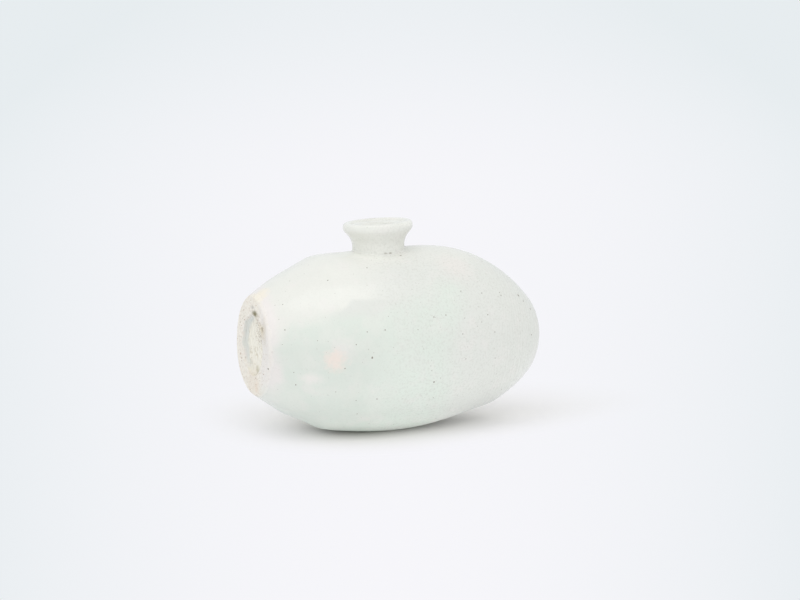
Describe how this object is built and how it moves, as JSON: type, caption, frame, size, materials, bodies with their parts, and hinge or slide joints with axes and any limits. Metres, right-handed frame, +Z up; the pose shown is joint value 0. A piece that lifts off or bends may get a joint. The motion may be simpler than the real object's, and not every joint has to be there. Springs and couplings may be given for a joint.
{
  "type": "barrel-shaped bottle",
  "caption": "Barrel-shaped white porcelain bottle lying on its side, with a flat bare foot end, a domed end and a short flared neck on top to fill and pour from.",
  "frame": {"origin": "middle of the overall box at the level of the resting flat under the belly", "axes": "+X along the jar's axis from the flat foot to the domed end, +Z up along the neck, +Y away from the viewer"},
  "size_m": [0.223, 0.1338, 0.1542],
  "materials": {
    "white_glaze": "pale green-white porcelain glaze, satin to glossy, with fine iron specks",
    "bare_clay": "bare fired clay, matt, peach to grey, with kiln sand"
  },
  "bodies": {
    "root": {"foot_base": "bare_clay", "barrel_wall": "white_glaze", "closing_dome": "white_glaze", "neck": "white_glaze", "neck_luting_coil": "white_glaze"}
  },
  "joints": []
}
